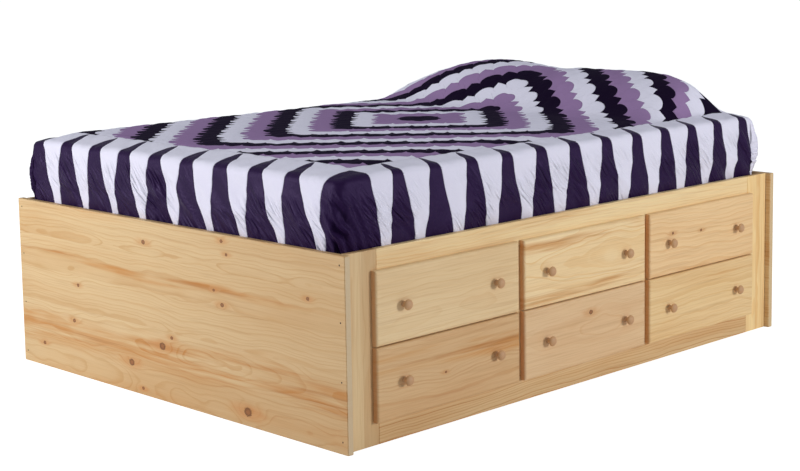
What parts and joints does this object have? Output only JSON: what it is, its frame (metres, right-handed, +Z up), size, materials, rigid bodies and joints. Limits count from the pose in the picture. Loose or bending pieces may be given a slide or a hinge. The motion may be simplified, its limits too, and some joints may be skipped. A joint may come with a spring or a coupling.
{
  "type": "platform bed with storage drawers",
  "caption": "Low wooden box bed with overlay drawers on one long side, a plywood deck, and a mattress with pillows under a pieced quilt.",
  "frame": {"origin": "on the floor, in the middle of the overall bounding box", "axes": "+Z up; +Y from the foot of the bed to its head; +X out of the side with the drawers"},
  "size_m": [1.6708, 2.108, 0.9463],
  "materials": {
    "pine_frame": "unfinished pine, planed and sanded",
    "pine_front": "unfinished pine, planed and sanded",
    "pine_inner": "unfinished pine",
    "knob_wood": "turned hardwood, sanded",
    "plywood": "unfinished plywood",
    "ticking": "woven cotton over padding",
    "pillow_cotton": "plain cotton",
    "quilt_cotton": "pieced and quilted cotton"
  },
  "bodies": {
    "frame": {"foot_panel": "pine_frame", "head_panel": "pine_frame", "stile_foot": "pine_frame", "stile_head": "pine_frame", "rail_bottom": "pine_frame", "rail_top": "pine_frame", "mullion_1": "pine_inner", "mullion_2": "pine_inner", "wall_side_panel": "pine_frame", "chest_back": "plywood", "runner_lower_1": "pine_inner", "runner_lower_2": "pine_inner", "runner_lower_3": "pine_inner", "runner_lower_4": "pine_inner", "runner_upper_1": "pine_inner", "runner_upper_2": "pine_inner", "runner_upper_3": "pine_inner", "runner_upper_4": "pine_inner", "cleat_wall": "pine_inner", "cleat_foot": "pine_inner", "cleat_head": "pine_inner", "cleat_front": "pine_inner", "deck_bearer": "pine_inner", "deck_board_1": "plywood", "deck_board_2": "plywood", "deck_board_3": "plywood"},
    "drawer_lower_1": {"drawer_lower_1_front": "pine_front", "drawer_lower_1_box": "pine_inner", "drawer_lower_1_bottom": "plywood", "drawer_lower_1_knob_left": "knob_wood", "drawer_lower_1_knob_right": "knob_wood"},
    "drawer_lower_2": {"drawer_lower_2_front": "pine_front", "drawer_lower_2_box": "pine_inner", "drawer_lower_2_bottom": "plywood", "drawer_lower_2_knob_left": "knob_wood", "drawer_lower_2_knob_right": "knob_wood"},
    "drawer_lower_3": {"drawer_lower_3_front": "pine_front", "drawer_lower_3_box": "pine_inner", "drawer_lower_3_bottom": "plywood", "drawer_lower_3_knob_left": "knob_wood", "drawer_lower_3_knob_right": "knob_wood"},
    "drawer_upper_1": {"drawer_upper_1_front": "pine_front", "drawer_upper_1_box": "pine_inner", "drawer_upper_1_bottom": "plywood", "drawer_upper_1_knob_left": "knob_wood", "drawer_upper_1_knob_right": "knob_wood"},
    "drawer_upper_2": {"drawer_upper_2_front": "pine_front", "drawer_upper_2_box": "pine_inner", "drawer_upper_2_bottom": "plywood", "drawer_upper_2_knob_left": "knob_wood", "drawer_upper_2_knob_right": "knob_wood"},
    "drawer_upper_3": {"drawer_upper_3_front": "pine_front", "drawer_upper_3_box": "pine_inner", "drawer_upper_3_bottom": "plywood", "drawer_upper_3_knob_left": "knob_wood", "drawer_upper_3_knob_right": "knob_wood"},
    "bedding": {"mattress": "ticking", "pillow_wall_side": "pillow_cotton", "pillow_drawer_side": "pillow_cotton", "quilt": "quilt_cotton"}
  },
  "joints": [
    {"name": "drawer_lower_1_slide", "type": "slide", "parent": "frame", "child": "drawer_lower_1", "axis": [1, 0, 0], "range_m": [0, 0.42]},
    {"name": "drawer_lower_2_slide", "type": "slide", "parent": "frame", "child": "drawer_lower_2", "axis": [1, 0, 0], "range_m": [0, 0.42]},
    {"name": "drawer_lower_3_slide", "type": "slide", "parent": "frame", "child": "drawer_lower_3", "axis": [1, 0, 0], "range_m": [0, 0.42]},
    {"name": "drawer_upper_1_slide", "type": "slide", "parent": "frame", "child": "drawer_upper_1", "axis": [1, 0, 0], "range_m": [0, 0.42]},
    {"name": "drawer_upper_2_slide", "type": "slide", "parent": "frame", "child": "drawer_upper_2", "axis": [1, 0, 0], "range_m": [0, 0.42]},
    {"name": "drawer_upper_3_slide", "type": "slide", "parent": "frame", "child": "drawer_upper_3", "axis": [1, 0, 0], "range_m": [0, 0.42]},
    {"name": "bedding_lift", "type": "slide", "parent": "frame", "child": "bedding", "axis": [0, 0, 1], "range_m": [0, 0.3]}
  ]
}
